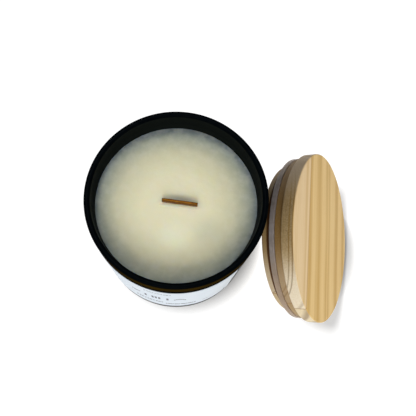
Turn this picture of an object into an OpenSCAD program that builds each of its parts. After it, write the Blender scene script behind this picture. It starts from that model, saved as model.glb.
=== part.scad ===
// Wood-wick container candle in a dark glass tumbler, with its turned wooden lid
// leaning against the glass. Millimetres, +Z up. The origin is the centre of the
// tumbler's foot, on the surface it stands on; -Y is the labelled front.

/* [Tumbler] */
// outside radius of the glass
tumbler_r = 40; // [36:0.5:46]
// overall height of the glass
tumbler_h = 83; // [74:1:95]
// radius of the straight bore at the mouth
bore_r = 37.2; // [33.6:0.1:43.4]
// depth of the straight bore below the rim
bore_depth = 8.4; // [6:0.1:8.8]
// radius of the cavity below the bore
cavity_r = 36.5; // [33:0.1:42.6]
// edge rounding of the fire-polished rim
rim_round = 1.3; // [0.4:0.1:1.3]
// outside rounding at the foot of the wall
foot_round = 4; // [2:0.5:6]
// inside rounding between wall and floor
floor_round = 6; // [3:0.5:9]
// thickness of the glass floor
floor_t = 8; // [5:0.5:12]
// radius of the hollow under the foot
punt_r = 30; // [26:0.5:32]
// depth of the hollow under the foot
punt_depth = 1.2; // [0.8:0.1:2]

/* [Wax] */
// distance from the rim down to the wax
wax_drop = 12.2; // [11.9:0.1:13]
// how far the wax climbs the glass
meniscus = 0.5; // [0.2:0.1:0.8]
// width of that climb
meniscus_w = 2.2; // [1:0.1:3]

/* [Wick] */
// width of the wooden wick board
wick_w = 16.2; // [12:0.1:20]
// thickness of the wooden wick board
wick_t = 1.2; // [0.8:0.1:1.6]
// height of the wick above the wax
wick_stand = 3.3; // [2:0.1:3.4]
// turn of the wick about the vertical, degrees
wick_turn = -8; // [-20:1:20]
// sideways offset of the wick from the centre
wick_x = 1.6; // [-4:0.1:4]
// offset of the wick towards the back
wick_y = 0.2; // [-4:0.1:4]
// radius of the clip's foot
clip_r = 10; // [9:0.5:12]
// thickness of the clip's sheet steel
clip_t = 0.4; // [0.3:0.1:0.6]
// height of the clip's two grips
clip_h = 7; // [5:0.5:9]
// radius of the adhesive pad under the clip
pad_r = 9; // [7:0.5:11]
// thickness of the adhesive pad
pad_t = 0.8; // [0.5:0.1:1.5]

/* [Labels] */
// height of the front label
label_h = 57; // [40:1:60]
// height of the front label's lower edge
label_z = 12; // [7:0.5:14]
// end of the front label to the right of the front, degrees
label_right = 43; // [30:1:80]
// end of the front label to the left of the front, degrees
label_left = 62; // [30:1:90]
// thickness of the label paper
label_t = 0.15; // [0.12:0.01:0.3]
// radius of the plain label under the foot
base_label_r = 24; // [16:1:25]

/* [Lid] */
// radius of the lid's top disc
disc_r = 41.8; // [40.5:0.1:44]
// thickness of the top disc
disc_t = 5.9; // [5:0.1:7]
// radius of the plug that enters the bore
plug_r = 36.4; // [35.8:0.05:36.5]
// distance from the disc down to the plug's end
plug_h = 11.4; // [9.5:0.1:12.5]
// bevel on the plug's lower edge
plug_bevel = 0.6; // [0.3:0.1:0.8]
// edge rounding of the top disc
disc_round = 0.6; // [0.3:0.1:1]
// radius of the shoulder the silicone ring sits against
shoulder_r = 39.9; // [38:0.1:40.1]
// height of that shoulder
shoulder_h = 3.7; // [2:0.1:4.5]
// distance of the glue seam from the lid's axis
seam_offset = 20.8; // [10:0.1:24]
// turn of the glue seam and grain in the lid's plane, degrees
seam_turn = 5; // [0:1:20]

/* [Gasket] */
// outside radius of the silicone ring, which lies on the rim of the closed tumbler
gasket_r = 40.2; // [39.6:0.1:41]
// height of the silicone ring
gasket_w = 2.7; // [2:0.1:3]
// rounding of the ring's outer edges
gasket_round = 0.5; // [0.3:0.1:0.8]
// depth of the groove turned in the plug
groove_depth = 1; // [0.6:0.1:2]
// width of the groove turned in the plug
groove_w = 3.1; // [3.1:0.1:3.6]

/* [Leaning lid] */
// rise of the lid's axis above level, degrees
lean = 31.3; // [28:0.1:36]
// direction of the lid from the tumbler, degrees from +X
lean_turn = -7.1; // [-30:0.1:30]
// gap left between the plug's edge and the glass
lean_gap = 0.3; // [0.3:0.05:1]

/* [Hidden] */
$fn = 96;
wax_z = tumbler_h - wax_drop;
taper_z = wax_z + meniscus;
clip_z = floor_t + pad_t;
wick_z = clip_z + clip_t;
wick_h = wax_z + wick_stand - wick_z;
ring_low = -shoulder_h - gasket_w;
big = 100;
// Height of the centre of the disc's underside: the silicone ring's edge rests on the ground.
lid_z = max(
  cos(lean) * plug_r + sin(lean) * (plug_h - plug_bevel),
  cos(lean) * disc_r,
  cos(lean) * (gasket_r - gasket_round) - sin(lean) * (ring_low + gasket_round) + gasket_round
);
// Reach of the plug's edge from that centre towards the tumbler.
lid_reach = max(
  sin(lean) * plug_r + cos(lean) * (plug_h - plug_bevel),
  sin(lean) * (plug_r - plug_bevel) + cos(lean) * plug_h
);
lid_x = tumbler_r + lean_gap + lid_reach;

// Points of an arc about c, from angle a to angle b.
function arc(c, r, a, b, n = 8) =
  [for (i = [0:n]) c + r * [cos(a + (b - a) * i / n), sin(a + (b - a) * i / n)]];

// Carries a shape drawn about the lid's own axis to where the lid leans.
module leaning() {
  rotate([0, 0, lean_turn])
    translate([lid_x, 0, lid_z])
      rotate([0, 90 - lean, 0])
        children();
}

// Carries a shape drawn about the wick's centre to the wick's place.
module at_wick(z) {
  translate([wick_x, wick_y, z])
    rotate([0, 0, wick_turn])
      children();
}

module tumbler() {
  color("#0d1414")
    rotate_extrude()
      polygon(concat(
        [[0, punt_depth], [punt_r - punt_depth, punt_depth], [punt_r, 0]],
        arc([tumbler_r - foot_round, foot_round], foot_round, -90, 0),
        arc([tumbler_r - rim_round, tumbler_h - rim_round], rim_round, 0, 90),
        arc([bore_r + rim_round, tumbler_h - rim_round], rim_round, 90, 180),
        [[bore_r, tumbler_h - bore_depth], [cavity_r, taper_z]],
        arc([cavity_r - floor_round, floor_t + floor_round], floor_round, 0, -90),
        [[0, floor_t]]
      ));
}

// The poured wax, up to the taper, with its climb up the glass.
module wax_body() {
  rotate_extrude()
    polygon(concat(
      [[0, floor_t]],
      arc([cavity_r - floor_round, floor_t + floor_round], floor_round, -90, 0),
      [
        [cavity_r, taper_z],
        [cavity_r - 0.2 * meniscus_w, wax_z + 0.45 * meniscus],
        [cavity_r - 0.5 * meniscus_w, wax_z + 0.15 * meniscus],
        [cavity_r - meniscus_w, wax_z],
        [0, wax_z]
      ]
    ));
}

module wick_board() {
  at_wick(wick_z)
    translate([-wick_w / 2, -wick_t / 2, 0])
      cube([wick_w, wick_t, wick_h]);
}

module clip_shape() {
  at_wick(clip_z) {
    cylinder(r = clip_r, h = clip_t);
    for (side = [-1, 1])
      translate([-wick_w / 2, side * (wick_t + clip_t) / 2 - clip_t / 2, 0])
        cube([wick_w, clip_t, clip_h]);
  }
}

module pad_shape() {
  at_wick(floor_t)
    cylinder(r = pad_r, h = pad_t);
}

module wax_fill() {
  color("#e3dfbb")
    difference() {
      wax_body();
      wick_board();
      clip_shape();
      pad_shape();
    }
}

module wick() {
  color("#7a4d1c")
    wick_board();
}

module wick_clip() {
  color("#b9bcbf")
    clip_shape();
}

module clip_pad() {
  color("#f0f0ee")
    pad_shape();
}

module front_label() {
  color("#f2f6fb")
    rotate([0, 0, -90 - label_left])
      rotate_extrude(angle = label_left + label_right)
        translate([tumbler_r, label_z])
          square([label_t, label_h]);
}

module base_label() {
  color("#f4f4f2")
    translate([0, 0, punt_depth - label_t])
      cylinder(r = base_label_r, h = label_t);
}

// Disc, shoulder, gasket groove and plug turned from one glued blank.
module turned_lid() {
  rotate_extrude()
    polygon(concat(
      [[0, disc_t]],
      arc([disc_r - disc_round, disc_t - disc_round], disc_round, 90, 0, 5),
      arc([disc_r - disc_round, disc_round], disc_round, 0, -90, 5),
      [
        [shoulder_r, 0],
        [shoulder_r, -shoulder_h],
        [plug_r - groove_depth, -shoulder_h],
        [plug_r - groove_depth, -shoulder_h - groove_w],
        [plug_r, -shoulder_h - groove_w],
        [plug_r, -plug_h + plug_bevel],
        [plug_r - plug_bevel, -plug_h],
        [0, -plug_h]
      ]
    ));
}

// The half of the blank beyond the seam, or short of it.
module stave(beyond) {
  intersection() {
    turned_lid();
    rotate([0, 0, seam_turn])
      translate([beyond ? -seam_offset - big : -seam_offset, -big / 2, -big / 2])
        cube([big, big, big]);
  }
}

module lid_stave_gold() {
  color("#dcbc86")
    leaning()
      stave(false);
}

module lid_stave_light() {
  color("#d9c19a")
    leaning()
      stave(true);
}

module lid_gasket() {
  color("#b7b0b0")
    leaning()
      rotate_extrude()
        polygon(concat(
          [[plug_r - groove_depth, -shoulder_h]],
          arc([gasket_r - gasket_round, -shoulder_h - gasket_round], gasket_round, 90, 0, 5),
          arc([gasket_r - gasket_round, ring_low + gasket_round], gasket_round, 0, -90, 5),
          [[plug_r - groove_depth, ring_low]]
        ));
}

tumbler();
wax_fill();
wick();
wick_clip();
clip_pad();
front_label();
base_label();
lid_stave_gold();
lid_stave_light();
lid_gasket();
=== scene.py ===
"""Looks of the wood-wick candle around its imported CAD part.

Metres, in the part's own frame: +Z up, the label faces -Y, the lid leans on the +X side.
"""

import math

import bmesh
import bpy
from mathutils import Matrix, Vector, noise


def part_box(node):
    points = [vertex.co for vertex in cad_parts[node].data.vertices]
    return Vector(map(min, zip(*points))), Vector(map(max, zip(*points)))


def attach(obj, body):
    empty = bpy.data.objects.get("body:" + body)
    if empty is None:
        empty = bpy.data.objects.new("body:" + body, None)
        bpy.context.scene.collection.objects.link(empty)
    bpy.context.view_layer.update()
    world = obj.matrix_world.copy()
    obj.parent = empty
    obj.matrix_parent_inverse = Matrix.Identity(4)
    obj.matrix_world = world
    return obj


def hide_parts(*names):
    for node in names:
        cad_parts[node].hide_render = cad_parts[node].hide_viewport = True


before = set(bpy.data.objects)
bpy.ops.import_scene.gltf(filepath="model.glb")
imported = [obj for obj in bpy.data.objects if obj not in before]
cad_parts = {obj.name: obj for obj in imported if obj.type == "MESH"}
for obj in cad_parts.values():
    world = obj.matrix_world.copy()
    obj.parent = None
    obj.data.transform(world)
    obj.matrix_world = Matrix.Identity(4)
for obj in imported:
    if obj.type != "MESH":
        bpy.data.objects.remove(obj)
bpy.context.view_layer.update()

MM = 0.001
ROUND_STEPS = 256
WAX_STEPS = 96

# ---------------------------------------------------------------- sizes, from the frame

TUMBLER_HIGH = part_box("tumbler")[1]
TUMBLER_R = TUMBLER_HIGH.x
TUMBLER_H = TUMBLER_HIGH.z
BORE_R = TUMBLER_R - 2.8 * MM
BORE_DEPTH = 8.4 * MM
CAVITY_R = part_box("wax_fill")[1].x
FLOOR_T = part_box("wax_fill")[0].z
CLIMB_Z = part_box("wax_fill")[1].z
CLIMB = 0.5 * MM
CLIMB_W = 2.2 * MM
WAX_Z = CLIMB_Z - CLIMB
WICK_CLIMB = 0.35 * MM
WICK_CLIMB_W = 0.9 * MM
RIDGE = 0.16 * MM
RIDGE_AWAY = 1.3 * MM
RIDGE_W = 0.35 * MM
RIM_ROUND = 1.3 * MM
FOOT_ROUND = 4 * MM
FLOOR_ROUND = 6 * MM
PUNT_R = 30 * MM
PUNT_DEPTH = 1.2 * MM
# low edge of the painted brown reflection on the glass under the rim
REFLECTION_LOW = 73 * MM

WICK_LOW, WICK_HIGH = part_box("wick")
WICK_CENTRE = (WICK_LOW + WICK_HIGH) / 2
WICK_TURN = math.radians(-8)
WICK_W = 16.2 * MM
WICK_T = 1.2 * MM

LABEL_LOW, LABEL_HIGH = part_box("front_label")
LABEL_R = TUMBLER_R
LABEL_T = 0.15 * MM
PRINT_T = 0.02 * MM
LABEL_LEFT = math.radians(-62)
LABEL_RIGHT = math.radians(43)

DISC_R = 41.8 * MM
DISC_T = 5.9 * MM
DISC_ROUND = 0.6 * MM
PLUG_R = 36.4 * MM
PLUG_H = 11.4 * MM
PLUG_BEVEL = 0.6 * MM
SHOULDER_R = 39.9 * MM
SHOULDER_H = 3.7 * MM
SEAM_OFFSET = 20.8 * MM
SEAM_TURN = math.radians(5)
GOLD_GRAIN = math.radians(7)
LIGHT_GRAIN = math.radians(5)
GASKET_R = 40.2 * MM
GASKET_W = 2.7 * MM
GASKET_ROUND = 0.5 * MM
GASKET_LOW = -SHOULDER_H - GASKET_W
GROOVE_DEPTH = 1 * MM
GROOVE_W = 3.1 * MM
# lowest edge of the painted shade under the silicone ring
UNDER_RING_LOW = -8.9 * MM
RING_SHAPE = ((-1.7, 0.0), (-0.35, 0.95), (0.25, 1.0), (1.0, 0.0))

LEAN = math.radians(31.3)
LEAN_TURN = math.radians(-7.1)


def lid_placement():
    """Where the lid's own frame (underside of the disc at 0, top face up) stands as the lid leans."""
    turn = Matrix.Rotation(LEAN_TURN, 4, "Z") @ Matrix.Rotation(math.pi / 2 - LEAN, 4, "Y")
    low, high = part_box("lid_gasket")
    ring_centre = (low + high) / 2
    seat = ring_centre + turn @ Vector((0, 0, SHOULDER_H + GASKET_W / 2))
    return Matrix.Translation(seat) @ turn


# ---------------------------------------------------------------- mesh helpers


def arc(centre, radius, start, end, steps=8):
    """Points of an arc about centre, from angle start to angle end in degrees."""
    points = []
    for i in range(steps + 1):
        a = math.radians(start + (end - start) * i / steps)
        points.append((centre[0] + radius * math.cos(a), centre[1] + radius * math.sin(a)))
    return points


def circle(bm, radius, height):
    """A ring of vertices about Z; height is a number, or a function of x and y."""
    ring = []
    for i in range(ROUND_STEPS):
        a = 2 * math.pi * i / ROUND_STEPS
        x, y = radius * math.cos(a), radius * math.sin(a)
        ring.append(bm.verts.new((x, y, height(x, y) if callable(height) else height)))
    return ring


def turned(outline):
    """A bmesh turned about Z from an outline of (radius, height) points.

    The outline's ends lie on the axis, or are joined to close it."""
    bm = bmesh.new()
    rings = []
    for radius, height in outline:
        rings.append(circle(bm, radius, height) if radius else [bm.verts.new((0, 0, height))])
    pairs = list(zip(rings, rings[1:]))
    if len(rings[0]) > 1:
        pairs.append((rings[-1], rings[0]))
    for low, high in pairs:
        for i in range(ROUND_STEPS):
            j = (i + 1) % ROUND_STEPS
            corners = [low[i % len(low)], low[j % len(low)], high[j % len(high)], high[i % len(high)]]
            face = list(dict.fromkeys(corners))
            if len(face) > 2:
                bm.faces.new(face)
    bmesh.ops.recalc_face_normals(bm, faces=bm.faces)
    return bm


def piece(name, bm, body, material, replaces=(), matrix=None, sharp=35):
    """Turns a bmesh, set in place by matrix, into a named piece that rides on a body.

    Edges sharper than sharp degrees stay crisp."""
    if matrix is not None:
        bm.transform(matrix)
    for face in bm.faces:
        face.smooth = True
    for edge in bm.edges:
        edge.smooth = edge.calc_face_angle(0) < math.radians(sharp)
    mesh = bpy.data.meshes.new(name)
    bm.to_mesh(mesh)
    bm.free()
    obj = bpy.data.objects.new(name, mesh)
    bpy.context.scene.collection.objects.link(obj)
    mesh.materials.append(material)
    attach(obj, body)
    if replaces:
        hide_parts(*replaces)
    return obj


# ---------------------------------------------------------------- material helpers


class Shader:
    """A material with a Principled shader, and short calls that add nodes to it."""

    def __init__(self, name, **constants):
        self.material = bpy.data.materials.new(name)
        self.material.use_nodes = True
        self.tree = self.material.node_tree
        self.surface = self.tree.nodes["Principled BSDF"]
        for key, value in constants.items():
            self.surface.inputs[key.replace("_", " ")].default_value = value

    def node(self, kind, inputs=None, **settings):
        """Adds a node; inputs maps a socket's name or number to a value or to another node's socket."""
        made = self.tree.nodes.new("ShaderNode" + kind)
        for key, value in settings.items():
            setattr(made, key, value)
        for key, value in (inputs or {}).items():
            self.put(made.inputs[key], value)
        return made

    def put(self, socket, value):
        if isinstance(value, bpy.types.NodeSocket):
            self.tree.links.new(value, socket)
        else:
            socket.default_value = value

    def math(self, operation, a, b=0.0, clamp=False):
        made = self.node("Math", {0: a, 1: b}, operation=operation)
        made.use_clamp = clamp
        return made.outputs[0]

    def times(self, a, b):
        return self.math("MULTIPLY", a, b)

    def plus(self, a, b):
        return self.math("ADD", a, b)

    def minus(self, a, b):
        return self.math("SUBTRACT", a, b)

    def length(self, vector):
        return self.node("VectorMath", {0: vector}, operation="LENGTH").outputs[1]

    def span(self, value, low, high, to_low=0.0, to_high=1.0):
        """value's stretch from low to high, mapped smoothly to to_low to to_high."""
        made = self.node("MapRange", {0: value, 1: low, 2: high, 3: to_low, 4: to_high})
        made.interpolation_type = "SMOOTHSTEP"
        return made.outputs[0]

    def span_linear(self, value, low, high):
        """value's stretch from low to high, mapped straight to 0 to 1."""
        return self.node("MapRange", {0: value, 1: low, 2: high}).outputs[0]

    def ramp(self, factor, stops):
        """A colour ramp from (position, colour) stops."""
        made = self.node("ValToRGB", {0: factor})
        elements = made.color_ramp.elements
        while len(elements) < len(stops):
            elements.new(0.5)
        for element, (position, colour) in zip(elements, stops):
            element.position = position
            element.color = (*colour, 1)
        return made.outputs[0]

    def mix(self, factor, a, b, blend="MIX"):
        """A mix of two colours, each a node's socket or a (red, green, blue)."""
        made = self.node("Mix", {"Factor": factor}, data_type="RGBA", blend_type=blend)
        for socket, colour in ((made.inputs[6], a), (made.inputs[7], b)):
            self.put(socket, (*colour, 1) if isinstance(colour, tuple) else colour)
        return made.outputs[2]

    def noise(self, vector, scale, detail=3.0, roughness=0.5):
        inputs = {"Vector": vector, "Scale": scale, "Detail": detail, "Roughness": roughness}
        return self.node("TexNoise", inputs).outputs[0]

    def place(self, matrix=None):
        """Millimetres in the part's frame, or in the frame that matrix sets in the part's."""
        source = self.node("TexCoord").outputs["Object"]
        if matrix is None:
            return self.stretch(source, (1000, 1000, 1000))
        inputs = {"Vector": source, "Location": matrix.translation, "Rotation": matrix.to_euler()}
        local = self.node("Mapping", inputs, vector_type="TEXTURE").outputs[0]
        return self.stretch(local, (1000, 1000, 1000))

    def stretch(self, vector, scale):
        return self.node("Mapping", {"Vector": vector, "Scale": scale}).outputs[0]

    def parts(self, vector):
        return self.node("SeparateXYZ", {0: vector}).outputs

    def patch(self, vector, centre, reach, strength):
        """strength at centre, fading to nothing at reach (across, along) from it, in the plane."""
        scale = (1 / reach[0], 1 / reach[1], 0)
        near = self.node("VectorMath", {0: vector, 1: (*centre, 0)}, operation="SUBTRACT").outputs[0]
        return self.span(self.length(self.stretch(near, scale)), 1.0, 0.1, 0.0, strength)

    def colour(self, socket):
        self.put(self.surface.inputs["Base Color"], socket)

    def roughness(self, socket):
        self.put(self.surface.inputs["Roughness"], socket)

    def bump(self, height, distance, strength):
        made = self.node("Bump", {"Height": height, "Distance": distance, "Strength": strength})
        self.put(self.surface.inputs["Normal"], made.outputs[0])


def rgb(red, green, blue):
    """Linear colour of a 0 to 255 display colour."""
    shares = [c / 255 for c in (red, green, blue)]
    return tuple(((c + 0.055) / 1.055) ** 2.4 if c > 0.04 else c / 12.92 for c in shares)


# ---------------------------------------------------------------- materials


def dark_glass():
    """Near-black satin glass: fine waviness, dust and handling marks, and a lighter, greener painted
    reflection on the inner wall.
    """
    s = Shader("dark_glass", Specular_IOR_Level=0.008)
    at = s.place()
    across = s.length(s.stretch(at, (1, 1, 0)))
    cloud = s.span(s.noise(at, 0.35, 4.0), 0.3, 0.7)
    black = s.mix(cloud, rgb(2, 5, 8), rgb(5, 9, 12))
    # painted reflection: the inner wall is coloured lighter and greener than the outer wall
    inner_painted_reflection = s.span(across, 37.4, 37.1)
    s.colour(s.mix(inner_painted_reflection, black, rgb(20, 24, 22)))
    marks = s.span(s.noise(s.stretch(at, (1, 1, 0.25)), 0.9, 6.0, 0.7), 0.45, 0.75)
    dust = s.span(s.noise(at, 5.5, 2.0), 0.68, 0.74)
    s.roughness(s.plus(s.plus(s.times(marks, 0.12), s.times(dust, 0.3)), 0.34))
    s.bump(s.noise(at, 0.12, 2.0), 0.25 * MM, 0.5)
    return s.material


def glass_painted_reflection():
    """A painted brown reflection on the glass just under the rim, matt, uneven, fading to black above
    the label.
    """
    s = Shader("glass_painted_reflection", Specular_IOR_Level=0.0, Roughness=0.8)
    at = s.place()
    height = s.parts(at)[2]
    # painted reflection: a brown band on the outer wall between the label and the rim
    band = s.times(s.span(height, REFLECTION_LOW / MM, REFLECTION_LOW / MM + 3), s.span(height, 82.6, 81.8))
    painted_reflection = s.times(band, s.span(s.noise(at, 0.08), 0.2, 0.8, 0.7, 1.0))
    # the browns of the painted reflection
    brown = s.mix(s.span(s.noise(at, 0.5, 4.0), 0.2, 0.8), rgb(46, 34, 7), rgb(56, 42, 11))
    s.colour(s.mix(painted_reflection, rgb(3, 6, 8), brown))
    s.bump(s.noise(at, 0.12, 2.0), 0.25 * MM, 0.5)
    return s.material


def soy_wax():
    """Cream soft wax with faint frosting and a few specks; painted shade makes it bluer grey and darker
    towards the glass.

    It has a painted highlight in front, painted shade at the front right, and a painted shadow behind
    the wick."""
    s = Shader("soy_wax", Subsurface_Weight=1.0, Subsurface_Scale=3 * MM, Specular_IOR_Level=0.25)
    s.surface.inputs["Subsurface Radius"].default_value = (1.0, 0.8, 0.5)
    at = s.place()
    flat = s.stretch(at, (1, 1, 0))
    # the painted shade is centred a little to the front and left, so the front stays lighter
    centred = s.node("VectorMath", {0: flat, 1: (0.4, 1.3, 0)}, operation="ADD").outputs[0]
    across = s.length(centred)
    drift = s.times(s.minus(s.noise(flat, 0.06, 2.0), 0.5), 2.6)
    reach = s.math("DIVIDE", s.plus(across, drift), 37.0)
    # painted shade: the wax darkens towards the glass
    body = s.ramp(
        reach,
        [
            (0.0, rgb(246, 240, 209)),
            (0.4, rgb(244, 238, 205)),
            (0.58, rgb(232, 228, 195)),
            (0.72, rgb(218, 215, 184)),
            (0.84, rgb(188, 190, 167)),
            (0.93, rgb(154, 161, 149)),
            (0.985, rgb(120, 130, 131)),
        ],
    )
    frost = s.span(s.noise(flat, 0.22, 5.0, 0.6), 0.35, 0.7)
    frosted = s.mix(s.times(frost, 0.16), body, rgb(246, 245, 232))
    # painted highlight: a brighter patch on the front of the wax
    painted_highlight = s.mix(s.patch(flat, (-1, -15), (11, 9), 0.75), frosted, rgb(253, 250, 222))
    # painted shade: a greyer, darker patch at the front right of the wax
    front_right_painted_shade = s.mix(s.patch(flat, (14, -13), (10, 11), 0.3), painted_highlight, rgb(192, 196, 172))
    at_wick = s.place(Matrix.Translation(WICK_CENTRE) @ Matrix.Rotation(WICK_TURN, 4, "Z"))
    # painted shadow of the wick, on the wax behind it
    painted_wick_shadow = s.mix(s.patch(at_wick, (0.6, 1.7), (10.5, 3.4), 0.5), front_right_painted_shade, rgb(138, 138, 132))
    specks = s.span(s.noise(at, 2.6, 2.0), 0.66, 0.74)
    s.colour(s.mix(s.times(specks, 0.12), painted_wick_shadow, rgb(198, 190, 150)))
    s.roughness(s.span(s.noise(flat, 0.3, 4.0), 0.3, 0.7, 0.4, 0.56))
    ripples = s.plus(s.noise(flat, 0.16, 3.0), s.times(s.noise(at, 1.9, 3.0), 0.10))
    s.bump(ripples, 0.35 * MM, 0.6)
    return s.material


def growth_rings(s, at, pith, level, lines):
    """0 to 1 for how much a point at lies in a late ring of the log."""
    x, y, z = s.parts(at)
    wander = s.times(s.minus(s.noise(s.stretch(at, (0.04, 0.024, 0.04)), 1.0, 2.0), 0.5), 3.0)
    from_pith = s.plus(s.minus(x, pith[0]), wander)
    above = s.minus(z, pith[1])
    radius = s.math("SQRT", s.plus(s.times(from_pith, from_pith), s.times(above, above)))
    reaches = [math.hypot(place - pith[0], level - pith[1]) for place, strength, width in lines]
    low, high = reaches[0] - 6, reaches[-1] + 6
    stops = []
    for reach, (place, strength, width) in zip(reaches, lines):
        for step, share in RING_SHAPE:
            stops.append(((reach + step * width - low) / (high - low), (strength * share,) * 3))
    return s.ramp(s.span_linear(radius, low, high), stops)


def lid_edge(s, board, at, dark, end, late):
    """The turned edge over the board: pale end grain, long sides in a darker tone deepened with painted
    shade, ring lines darker towards -y, and painted shade at the +y end, on the shoulder, on the plug
    and under the ring.
    """
    x, y, z = s.parts(at)
    across = s.length(s.stretch(at, (1, 1, 0)))
    outer = s.span(across, PLUG_R / MM - 1.1, PLUG_R / MM - 0.6)
    turned_side = s.times(outer, s.span(z, DISC_T / MM - 0.15, DISC_T / MM - 0.5))
    endwise = s.math("DIVIDE", s.math("ABSOLUTE", y), across)
    long_side = s.times(turned_side, s.span(endwise, 0.62, 0.15))
    end_side = s.times(turned_side, s.span(endwise, 0.2, 0.65))
    speckle = s.span(s.noise(at, 2.2, 3.0, 0.7), 0.40, 0.62)
    end_tone = s.mix(s.times(speckle, 0.28), end, late)
    board = s.mix(end_side, board, end_tone)
    # the long-grain sides are darker: the wood's own tone, deepened with painted shade
    long_grain_tone_and_shade = s.times(long_side, s.span(speckle, 0.0, 1.0, 0.4, 0.75))
    board = s.mix(long_grain_tone_and_shade, board, rgb(134, 108, 62))
    scorched = s.times(s.times(dark, turned_side), s.span(y, 4.0, -14.0, 0.12, 0.62))
    board = s.mix(scorched, board, rgb(120, 86, 40))
    # painted shade: the turned edge browner and darker towards the +y end
    far_end_painted_shade = s.times(turned_side, s.span(y, 2.0, 32.0, 0.0, 0.45))
    board = s.mix(far_end_painted_shade, board, rgb(178, 132, 66))
    shoulder_low = -SHOULDER_H / MM
    # the shoulder browner and darker: its own tone, deepened with painted shade under the disc
    shoulder = s.times(s.span(z, 0.0, -0.1), s.span(z, shoulder_low - 0.1, shoulder_low))
    board = s.mix(s.times(shoulder, 0.7), board, rgb(142, 104, 46))
    under_ring_low = UNDER_RING_LOW / MM
    # the plug below the ring darker and more golden: its own tone, deepened with painted shade
    plug = s.times(outer, s.span(z, under_ring_low + 0.4, under_ring_low))
    board = s.mix(s.times(plug, 0.5), board, rgb(158, 124, 74))
    # painted shade: a dark brown band under the silicone ring
    under_ring_painted_shade = s.times(s.span(z, -5.9, -6.1), s.span(z, under_ring_low - 0.1, under_ring_low + 0.15))
    return s.mix(under_ring_painted_shade, board, rgb(88, 54, 20))


def wood(name, early, late, end, pith, level, lines, grain_turn, seam_side):
    """Softwood sawn from a log whose pith runs along the grain, below the disc.

    pith is the (across, up) place of the log's axis in the stave's grain frame, in millimetres, and
    lines are the (across, strength, width) of the late rings at the height level. The grain frame is
    turned grain_turn in the lid's plane; seam_side is +1 or -1 from the glue line towards this stave."""
    s = Shader(name, Specular_IOR_Level=0.2)
    at = s.place(lid_placement() @ Matrix.Rotation(grain_turn, 4, "Z"))
    dark = growth_rings(s, at, pith, level, lines)
    strength = s.span(s.noise(s.stretch(at, (0.05, 0.015, 0.05)), 1.0, 1.0), 0.3, 0.65, 0.7, 1.0)
    streaks = s.span(s.noise(s.stretch(at, (0.75, 0.012, 0.75)), 1.0, 4.0, 0.7), 0.36, 0.68)
    fine = s.span(s.noise(s.stretch(at, (4.5, 0.06, 4.5)), 1.0, 2.0, 0.6), 0.35, 0.75)
    amount = s.plus(s.times(dark, strength), s.times(streaks, 0.34))
    amount = s.math("ADD", amount, s.times(fine, 0.14), clamp=True)
    board = s.mix(amount, early, late)
    pores = s.span(s.noise(s.stretch(at, (6.0, 0.35, 6.0)), 1.0, 1.0), 0.66, 0.74)
    board = s.mix(s.times(pores, 0.16), board, rgb(168, 120, 58))
    board = lid_edge(s, board, at, dark, end, late)
    seam_x = s.parts(s.place(lid_placement() @ Matrix.Rotation(SEAM_TURN, 4, "Z")))[0]
    to_seam = s.times(s.plus(seam_x, SEAM_OFFSET / MM), seam_side)
    glue = s.span(to_seam, 0.5, 0.1, 0.0, 0.55)
    s.colour(s.mix(glue, board, rgb(150, 104, 50)))
    s.roughness(s.span(amount, 0.0, 1.0, 0.62, 0.48))
    relief = s.minus(s.times(fine, 0.6), pores)
    s.bump(relief, 0.05 * MM, 0.5)
    return s.material


def wick_wood():
    """Thin golden-brown board with lengthwise fibres, darker along its edges and at its cut ends."""
    s = Shader("wick_wood", Specular_IOR_Level=0.15)
    at = s.place(Matrix.Translation(WICK_CENTRE) @ Matrix.Rotation(WICK_TURN, 4, "Z"))
    x, y, z = s.parts(at)
    fibres = s.noise(s.stretch(at, (0.5, 5.0, 1.2)), 1.0, 4.0, 0.65)
    tone = s.ramp(
        fibres,
        [(0.3, rgb(112, 66, 10)), (0.5, rgb(152, 97, 22)), (0.7, rgb(184, 124, 42))],
    )
    edges = s.span(s.math("ABSOLUTE", y), 0.28, 0.5, 0.0, 0.6)
    ends = s.span(s.math("ABSOLUTE", x), 7.2, 8.1, 0.0, 0.55)
    right_end = s.span(x, 4.6, 6.2, 0.0, 0.3)
    # darker along the edges, at the cut ends and towards the right end
    toward_the_edges = s.math("MAXIMUM", s.math("MAXIMUM", edges, ends), right_end)
    s.colour(s.mix(toward_the_edges, tone, rgb(74, 42, 6)))
    s.roughness(s.span(fibres, 0.3, 0.7, 0.8, 0.6))
    s.bump(fibres, 0.12 * MM, 0.7)
    return s.material


def label_paper():
    """Coated white paper: cool white, faint fibre and tooth."""
    s = Shader("label_paper", Specular_IOR_Level=0.4)
    at = s.place()
    fibre = s.noise(s.stretch(at, (1.0, 1.0, 2.2)), 1.6, 5.0, 0.7)
    tones = [(0.3, rgb(209, 220, 233)), (0.5, rgb(218, 228, 238)), (0.7, rgb(225, 234, 242))]
    s.colour(s.ramp(fibre, tones))
    s.roughness(s.span(fibre, 0.3, 0.7, 0.42, 0.58))
    s.bump(fibre, 0.02 * MM, 0.4)
    return s.material


def ink(name, tone):
    """Printed ink with slight mottling."""
    s = Shader(name, Specular_IOR_Level=0.4)
    mottle = s.noise(s.place(), 3.0, 3.0)
    lighter = tuple(min(1.0, c * 1.35 + 0.01) for c in tone)
    s.colour(s.ramp(mottle, [(0.35, tone), (0.7, lighter)]))
    s.roughness(s.span(mottle, 0.3, 0.7, 0.35, 0.5))
    return s.material


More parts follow.
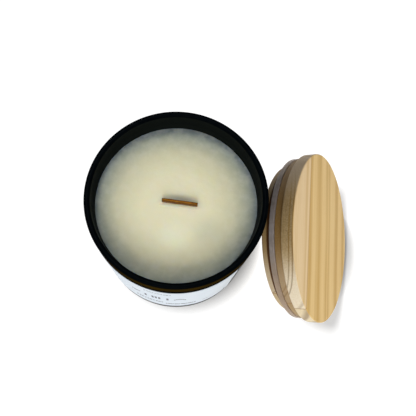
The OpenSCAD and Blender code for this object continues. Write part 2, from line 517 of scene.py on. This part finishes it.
def silicone():
    """Translucent silicone with a waxy surface and fine lint, and painted shade, dark brown, along its
    lower edge where it meets the plug.
    """
    s = Shader("silicone", Subsurface_Weight=0.4, Subsurface_Scale=3 * MM, Transmission_Weight=0.25)
    s.surface.inputs["IOR"].default_value = 1.41
    s.surface.inputs["Subsurface Radius"].default_value = (1.0, 0.9, 0.8)
    at = s.place()
    cloud = s.noise(at, 0.5, 3.0)
    clean = s.ramp(cloud, [(0.3, rgb(172, 164, 162)), (0.7, rgb(196, 188, 188))])
    x, y, height = s.parts(s.place(lid_placement()))
    # painted shade along the ring's lower edge
    low_edge_painted_shade = s.span(height, GASKET_LOW / MM + 0.35, GASKET_LOW / MM + 0.15)
    ageing = s.mix(s.span(s.math("ABSOLUTE", y), 12.0, 34.0, 0.0, 0.55), clean, rgb(196, 154, 98))
    tinted = s.mix(s.span(s.noise(at, 0.05, 2.0), 0.35, 0.65, 0.1, 0.4), ageing, rgb(150, 126, 96))
    s.colour(s.mix(low_edge_painted_shade, tinted, rgb(92, 58, 26)))
    lint = s.span(s.noise(at, 6.0, 2.0), 0.64, 0.72)
    s.roughness(s.plus(s.times(lint, 0.25), 0.42))
    s.bump(s.noise(at, 1.2, 3.0), 0.06 * MM, 0.5)
    return s.material


def clip_steel():
    """Tinned steel strip with rolling marks."""
    s = Shader("clip_steel", Metallic=1.0)
    at = s.place()
    marks = s.noise(s.stretch(at, (0.3, 6.0, 6.0)), 1.0, 4.0, 0.7)
    s.colour(s.ramp(marks, [(0.3, rgb(168, 170, 173)), (0.7, rgb(205, 207, 209))]))
    s.roughness(s.span(marks, 0.3, 0.7, 0.28, 0.45))
    s.bump(marks, 0.02 * MM, 0.4)
    return s.material


def pad_foam():
    """White closed-cell adhesive foam."""
    s = Shader("pad_foam", Roughness=0.85)
    cells = s.node("TexVoronoi", {"Vector": s.place(), "Scale": 2.4}).outputs["Distance"]
    s.colour(s.ramp(cells, [(0.1, rgb(238, 238, 234)), (0.6, rgb(214, 214, 208))]))
    s.bump(cells, 0.08 * MM, 0.6)
    return s.material


# ---------------------------------------------------------------- candle pieces


def make_tumbler(material, painted_reflection):
    """The glass, turned in one piece; its outer wall above the label carries a painted brown reflection.
    """
    outline = [
        (0, PUNT_DEPTH),
        (PUNT_R - PUNT_DEPTH - 0.4 * MM, PUNT_DEPTH),
        (PUNT_R - PUNT_DEPTH, PUNT_DEPTH - 0.1 * MM),
        (PUNT_R - 0.3 * MM, 0.2 * MM),
        (PUNT_R + 0.1 * MM, 0),
    ]
    outline += arc((TUMBLER_R - FOOT_ROUND, FOOT_ROUND), FOOT_ROUND, -90, 0, 12)
    outline += [(TUMBLER_R, REFLECTION_LOW - 3 * MM)]
    outline += arc((TUMBLER_R - RIM_ROUND, TUMBLER_H - RIM_ROUND), RIM_ROUND, 0, 90, 10)
    outline += arc((BORE_R + RIM_ROUND, TUMBLER_H - RIM_ROUND), RIM_ROUND, 90, 180, 10)
    outline += [(BORE_R, TUMBLER_H - BORE_DEPTH), (CAVITY_R, CLIMB_Z)]
    outline += arc((CAVITY_R - FLOOR_ROUND, FLOOR_T + FLOOR_ROUND), FLOOR_ROUND, 0, -90, 8)
    outline += [(0, FLOOR_T)]
    bm = turned(outline)
    for face in bm.faces:
        middle = face.calc_center_median()
        # faces of the outer wall above the label take the painted-reflection material
        if middle.z > REFLECTION_LOW - 4 * MM and math.hypot(middle.x, middle.y) > TUMBLER_R - 0.45 * MM:
            face.material_index = 1
    glass = piece("glass_tumbler", bm, "candle", material, ["tumbler"])
    glass.data.materials.append(painted_reflection)


def wax_height(x, y):
    """Height of the wax: almost flat, higher at the glass and the wick, ridged in front of the wick."""
    across = math.hypot(x, y)
    to_wall = max(0.0, across - (CAVITY_R - CLIMB_W)) / CLIMB_W
    climb = CLIMB * to_wall**2.2
    along = Matrix.Rotation(-WICK_TURN, 2) @ Vector((x - WICK_CENTRE.x, y - WICK_CENTRE.y))
    off_x = max(0.0, abs(along.x) - WICK_W / 2)
    off_y = max(0.0, abs(along.y) - WICK_T / 2)
    off = math.hypot(off_x, off_y)
    drawn = WICK_CLIMB * math.exp(-off / WICK_CLIMB_W)
    if along.y < 0:
        drawn += RIDGE * math.exp(-(((off - RIDGE_AWAY) / RIDGE_W) ** 2))
    swell = noise.noise(Vector((x, y, 0)) * 55) * 0.10 * MM
    swell += noise.noise(Vector((x, y, 3)) * 190) * 0.03 * MM
    return WAX_Z + climb + (drawn + swell) * (1 - min(1.0, to_wall))


def make_wax(material):
    """The wax: a finely divided top, and the rounding at its foot that fills the glass."""
    bm = bmesh.new()
    centre = bm.verts.new((0, 0, wax_height(0, 0)))
    rings = [circle(bm, CAVITY_R * (step / WAX_STEPS), wax_height) for step in range(1, WAX_STEPS + 1)]
    side = arc((CAVITY_R - FLOOR_ROUND, FLOOR_T + FLOOR_ROUND), FLOOR_ROUND, 0, -90, 6)
    rings += [circle(bm, radius, height) for radius, height in side]
    foot = bm.verts.new((0, 0, FLOOR_T))
    for i in range(ROUND_STEPS):
        j = (i + 1) % ROUND_STEPS
        bm.faces.new((centre, rings[0][i], rings[0][j]))
        bm.faces.new((foot, rings[-1][j], rings[-1][i]))
        for inner, outer in zip(rings, rings[1:]):
            bm.faces.new((inner[i], outer[i], outer[j], inner[j]))
    bmesh.ops.recalc_face_normals(bm, faces=bm.faces)
    piece("poured_wax", bm, "candle", material, ["wax_fill"], sharp=60)


def make_wick(material):
    """The wick board, with soft corners and a slightly ragged cut along its top."""
    bm = bmesh.new()
    height = WICK_HIGH.z - WICK_LOW.z
    columns, rows, layers = 96, 40, 6
    show = 6 * MM

    def point(i, k, j):
        u, v = i / columns - 0.5, k / layers - 0.5
        low = j / rows
        z = height * low if j < 2 else height - show * (1 - low)
        toward_the_edges = 1 - 0.10 * abs(2 * u) ** 14
        x = WICK_W * u * 0.995
        y = WICK_T * v * toward_the_edges
        if j == rows:
            ragged = noise.noise(Vector((u * 30, v * 8, 0.7))) * 0.5
            ragged += noise.noise(Vector((u * 90, v * 20, 2.1))) * 0.3
            z -= (0.22 + 0.35 * ragged) * MM + 0.25 * MM * abs(2 * v) ** 4
        if abs(v) > 0.49:
            y += noise.noise(Vector((u * 45, v * 3, z * 60))) * 0.035 * MM - math.copysign(0.03 * MM, v)
        return bm.verts.new((x, y, z))

    grid = {}
    for i in range(columns + 1):
        for k in range(layers + 1):
            for j in range(rows + 1):
                if i in (0, columns) or k in (0, layers) or j in (0, rows):
                    grid[i, k, j] = point(i, k, j)

    def quad(a, b, c, d):
        bm.faces.new((grid[a], grid[b], grid[c], grid[d]))

    for i in range(columns):
        for j in range(rows):
            for k in (0, layers):
                quad((i, k, j), (i + 1, k, j), (i + 1, k, j + 1), (i, k, j + 1))
        for k in range(layers):
            for j in (0, rows):
                quad((i, k, j), (i + 1, k, j), (i + 1, k + 1, j), (i, k + 1, j))
    for k in range(layers):
        for j in range(rows):
            for i in (0, columns):
                quad((i, k, j), (i, k + 1, j), (i, k + 1, j + 1), (i, k, j + 1))
    bmesh.ops.recalc_face_normals(bm, faces=bm.faces)
    foot = Matrix.Translation((WICK_CENTRE.x, WICK_CENTRE.y, WICK_LOW.z))
    turn = Matrix.Rotation(WICK_TURN, 4, "Z")
    piece("wick_board", bm, "candle", material, ["wick"], foot @ turn, sharp=50)


def on_label(angle, height, lift):
    """A point lift above the label's face: angle right of the front in radians, lengths in metres."""
    radius = LABEL_R + LABEL_T + lift
    return Vector((radius * math.sin(angle), -radius * math.cos(angle), height))


def make_label(material):
    """The wrapped paper, with rounded corners and its real thickness."""
    bm = bmesh.new()
    columns, rows = 160, 48
    corner = 1.6 * MM
    low_z, high_z = LABEL_LOW.z, LABEL_HIGH.z
    span = (LABEL_RIGHT - LABEL_LEFT) * LABEL_R
    sheets = []
    for back in (True, False):
        grid = []
        for i in range(columns + 1):
            row = []
            along = span * i / columns
            from_end = min(along, span - along)
            cut = corner - math.sqrt(max(0.0, corner**2 - max(0.0, corner - from_end) ** 2))
            for j in range(rows + 1):
                z = low_z + cut + (high_z - low_z - 2 * cut) * j / rows
                angle = LABEL_LEFT + (LABEL_RIGHT - LABEL_LEFT) * i / columns
                lift = -LABEL_T if back else 0.0
                row.append(bm.verts.new(on_label(angle, z, lift)))
            grid.append(row)
        sheets.append(grid)
    back, front = sheets
    for i in range(columns):
        for j in range(rows):
            bm.faces.new((front[i][j], front[i + 1][j], front[i + 1][j + 1], front[i][j + 1]))
            bm.faces.new((back[i][j], back[i][j + 1], back[i + 1][j + 1], back[i + 1][j]))
        for j in (0, rows):
            bm.faces.new((front[i][j], back[i][j], back[i + 1][j], front[i + 1][j]))
    for j in range(rows):
        for i in (0, columns):
            bm.faces.new((front[i][j], front[i][j + 1], back[i][j + 1], back[i][j]))
    bmesh.ops.recalc_face_normals(bm, faces=bm.faces)
    piece("wrapped_label", bm, "candle", material, ["front_label"])


def make_print(material):
    """Plain marks where the label is printed: bars, a low arch of dashes and rows of short dashes.

    Places along the label are in degrees from the front, other sizes in millimetres."""
    bm = bmesh.new()

    def mark(degrees, height, width, tall):
        """A thin raised patch centred at an angle and a height in millimetres."""
        steps = max(1, round(width / 0.4))
        middle = math.radians(degrees)
        half = width * MM / 2 / LABEL_R
        corners = []
        for i in range(steps + 1):
            angle = middle - half + 2 * half * i / steps
            corners.append(
                [
                    bm.verts.new(on_label(angle, (height + side * tall / 2) * MM, lift))
                    for side, lift in ((-1, 0), (-1, PRINT_T), (1, PRINT_T), (1, 0))
                ]
            )
        for near, far in zip(corners, corners[1:]):
            for k in range(4):
                bm.faces.new((near[k], far[k], far[(k + 1) % 4], near[(k + 1) % 4]))
        bm.faces.new(corners[0])
        bm.faces.new(corners[-1][::-1])

    for degrees in (-21.5, -16.4, -14.1, -11.7, -6.0):
        mark(degrees, 43, 1.05, 7.5)
    for i in range(7):
        mark(-1 + 1.2 * i, 42 + 3.2 * math.sin(math.pi * i / 6), 0.75, 2.2)
    for first, last, height, gap, tall in (
        (-21, -2, 61, 1.9, 1.3),
        (-31, -23, 46, 1.7, 2.6),
        (-29, -8, 27, 2.1, 2.8),
        (-7, 16, 23, 1.6, 2.4),
    ):
        for i in range(int((last - first) / gap)):
            mark(first + gap * i, height, 0.75 + 0.25 * (i % 3), tall)
    mark(22, 22, 3.0, 0.8)
    mark(38, 22, 0.8, 2.0)
    bmesh.ops.recalc_face_normals(bm, faces=bm.faces)
    piece("label_print", bm, "candle", material, sharp=20)


def make_lid(gold, light):
    """The two glued staves of the turned lid, each cut from the same turned outline at the seam."""
    outline = [(0, DISC_T)]
    outline += arc((DISC_R - DISC_ROUND, DISC_T - DISC_ROUND), DISC_ROUND, 90, 0, 6)
    outline += arc((DISC_R - DISC_ROUND, DISC_ROUND), DISC_ROUND, 0, -90, 6)
    outline += [
        (SHOULDER_R, 0),
        (SHOULDER_R, -SHOULDER_H + 0.3 * MM),
        (SHOULDER_R - 0.3 * MM, -SHOULDER_H),
        (PLUG_R - GROOVE_DEPTH, -SHOULDER_H),
        (PLUG_R - GROOVE_DEPTH, -SHOULDER_H - GROOVE_W),
        (PLUG_R - 0.2 * MM, -SHOULDER_H - GROOVE_W),
        (PLUG_R, -SHOULDER_H - GROOVE_W - 0.2 * MM),
        (PLUG_R, -PLUG_H + PLUG_BEVEL),
        (PLUG_R - PLUG_BEVEL, -PLUG_H),
        (0, -PLUG_H),
    ]
    across = Matrix.Rotation(SEAM_TURN, 3, "Z") @ Vector((-1, 0, 0))
    for name, node, material, slot, keep in (
        ("stave_gold", "lid_stave_gold", gold, "gold_wood", 1),
        ("stave_light", "lid_stave_light", light, "light_wood", -1),
    ):
        bm = turned(outline)
        cut = bmesh.ops.bisect_plane(
            bm,
            geom=bm.verts[:] + bm.edges[:] + bm.faces[:],
            plane_co=across * SEAM_OFFSET,
            plane_no=across * keep,
            clear_outer=True,
        )
        edges = [e for e in cut["geom_cut"] if isinstance(e, bmesh.types.BMEdge)]
        bmesh.ops.edgenet_fill(bm, edges=edges)
        bmesh.ops.recalc_face_normals(bm, faces=bm.faces)
        piece(name, bm, "lid", material, [node], lid_placement())


def make_gasket(material):
    """The silicone ring: a flat band with a shallow moulded waist."""
    outline = [(PLUG_R - GROOVE_DEPTH, -SHOULDER_H)]
    outline += arc((GASKET_R - GASKET_ROUND, -SHOULDER_H - GASKET_ROUND), GASKET_ROUND, 90, 0, 8)
    outline += [(GASKET_R - 0.1 * MM, -SHOULDER_H - GASKET_W / 2)]
    outline += arc((GASKET_R - GASKET_ROUND, GASKET_LOW + GASKET_ROUND), GASKET_ROUND, 0, -90, 8)
    outline += [(PLUG_R - GROOVE_DEPTH, GASKET_LOW)]
    bm = turned(outline)
    piece("silicone_ring", bm, "lid", material, ["lid_gasket"], lid_placement())


# ---------------------------------------------------------------- camera, light, floor


def make_camera():
    """The photograph's view: about 75 degrees above the horizon, looking along +Y."""
    elevation = math.radians(74.8)
    distance = 236.2 * MM
    aim_below, aim_left = 5.07 * MM, 0.09 * MM
    back = Vector((0, -math.cos(elevation), math.sin(elevation)))
    up = Vector((0, math.sin(elevation), math.cos(elevation)))
    aim = Vector((-aim_left, 0, TUMBLER_H)) - up * aim_below
    data = bpy.data.cameras.new("camera")
    data.sensor_width = 36
    data.lens = 47.6
    data.shift_x = 0.077
    data.clip_start = 0.01
    camera = bpy.data.objects.new("camera", data)
    turn = (-back).to_track_quat("-Z", "Y").to_matrix().to_4x4()
    camera.matrix_world = Matrix.Translation(aim + back * distance) @ turn
    bpy.context.scene.collection.objects.link(camera)
    bpy.context.scene.camera = camera


LIT_PLACE = Vector((0.02, 0, 0.05))
LIGHT_AWAY = 1.0
FLOOR_SIZE = 30


def make_light(name, direction, size, power, tone):
    """A square soft light in a direction from the place it is aimed at."""
    data = bpy.data.lights.new(name, "AREA")
    data.size = size
    data.energy = power
    data.color = tone
    light = bpy.data.objects.new(name, data)
    away = Vector(direction).normalized()
    turn = away.to_track_quat("Z", "Y").to_matrix().to_4x4()
    light.matrix_world = Matrix.Translation(LIT_PLACE + away * LIGHT_AWAY) @ turn
    bpy.context.scene.collection.objects.link(light)


def make_sun(name, direction, spread, strength):
    """An even light from far away; spread is the width of its source in degrees."""
    data = bpy.data.lights.new(name, "SUN")
    data.angle = math.radians(spread)
    data.energy = strength
    light = bpy.data.objects.new(name, data)
    light.matrix_world = Vector(direction).to_track_quat("Z", "Y").to_matrix().to_4x4()
    bpy.context.scene.collection.objects.link(light)


def light_only(light, *receivers, skip=False):
    """Lets a light reach only the receivers, or everything but them."""
    group = bpy.data.collections.new(light + "_receivers")
    for name in receivers:
        group.objects.link(bpy.data.objects[name])
    if skip:
        for entry in group.collection_objects:
            entry.light_linking.link_state = "EXCLUDE"
    bpy.data.objects[light].light_linking.receiver_collection = group


def shadow_only(light, *blockers):
    """Lets only the blockers throw a shadow in a light."""
    group = bpy.data.collections.new(light + "_blockers")
    for name in blockers:
        group.objects.link(bpy.data.objects[name])
    bpy.data.objects[light].light_linking.blocker_collection = group


def share_lights():
    """Lid and candle face different softboxes; the floor has its own light, shaded by the lid."""
    lid = ("stave_gold", "stave_light", "silicone_ring")
    light_only("front", "floor", skip=True)
    light_only("side", *lid)
    light_only("top", "floor", *lid, skip=True)
    light_only("floor_key", "floor")
    shadow_only("floor_key", *lid)


def make_floor():
    """A pale sheet that glows a little, its glow and colour darkened by painted shadow where the object
    closes it off from the left.
    """
    bm = bmesh.new()
    bmesh.ops.create_grid(bm, x_segments=1, y_segments=1, size=FLOOR_SIZE)
    mesh = bpy.data.meshes.new("floor")
    bm.to_mesh(mesh)
    bm.free()
    floor = bpy.data.objects.new("floor", mesh)
    bpy.context.scene.collection.objects.link(floor)
    s = Shader("floor_paper", Roughness=0.9, Specular_IOR_Level=0.0, Emission_Strength=0.58)
    # painted shadow: ambient occlusion looking left and to the front darkens the floor's glow and colour
    towards = s.node("CombineXYZ", {0: -0.7, 1: -0.5, 2: 0.51}).outputs[0]
    reach = {"Distance": 10 * MM, "Normal": towards}
    sky = s.math("POWER", s.node("AmbientOcclusion", reach, samples=24).outputs["AO"], 2.0)
    tooth = s.ramp(s.noise(s.place(), 0.4, 3.0), [(0.3, (0.985,) * 3), (0.7, (1.0,) * 3)])
    paper_with_painted_shadow = s.mix(1.0, tooth, sky, "MULTIPLY")
    s.put(s.surface.inputs["Emission Color"], paper_with_painted_shadow)
    s.colour(s.mix(1.0, paper_with_painted_shadow, (0.5, 0.5, 0.5), "MULTIPLY"))
    mesh.materials.append(s.material)


def make_studio():
    """The dim world, the softboxes, the floor and its light."""
    world = bpy.data.worlds.new("studio")
    bpy.context.scene.world = world
    world.use_nodes = True
    world.node_tree.nodes["Background"].inputs["Color"].default_value = (0.93, 0.97, 1.0, 1)
    world.node_tree.nodes["Background"].inputs["Strength"].default_value = 0.1
    make_light("front", (-0.1, -0.75, 0.66), 0.6, 5.6, (1.0, 0.99, 0.96))
    make_light("side", (0.75, -0.3, 0.6), 0.6, 5.0, (1.0, 0.985, 0.96))
    make_light("top", (-0.08, 0.22, 0.97), 0.35, 3.6, (0.98, 0.99, 1.0))
    make_sun("floor_key", (-0.42, 0.07, 0.9), 12, 3.5)
    make_floor()
    bpy.context.scene.view_settings.view_transform = "Standard"


# ---------------------------------------------------------------- the candle

make_camera()
make_studio()

paper = label_paper()
make_tumbler(dark_glass(), glass_painted_reflection())
make_wax(soy_wax())
make_wick(wick_wood())
make_label(paper)
make_print(ink("print_ink", rgb(38, 42, 66)))
make_lid(
    wood(
        "gold_wood",
        early=rgb(222, 191, 131),
        late=rgb(193, 152, 70),
        end=rgb(230, 214, 180),
        pith=(-50, -59),
        level=DISC_T / MM,
        lines=[
            (-19.2, 1.0, 1.6),
            (-5.3, 0.9, 2.2),
            (7.2, 0.75, 1.4),
            (10.8, 0.8, 1.2),
            (24.3, 1.0, 2.2),
            (37.3, 0.95, 2.0),
        ],
        grain_turn=GOLD_GRAIN,
        seam_side=1,
    ),
    wood(
        "light_wood",
        early=rgb(221, 194, 150),
        late=rgb(196, 158, 94),
        end=rgb(236, 223, 198),
        pith=(-46.5, -24.5),
        level=0.0,
        lines=[(-31.4, 0.9, 0.3), (-28.5, 1.0, 0.32), (-18.5, 0.55, 0.8), (-13.5, 0.35, 0.8)],
        grain_turn=LIGHT_GRAIN,
        seam_side=-1,
    ),
)
make_gasket(silicone())

share_lights()

for node, material in (("wick_clip", clip_steel()), ("clip_pad", pad_foam()), ("base_label", paper)):
    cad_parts[node].data.materials.clear()
    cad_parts[node].data.materials.append(material)
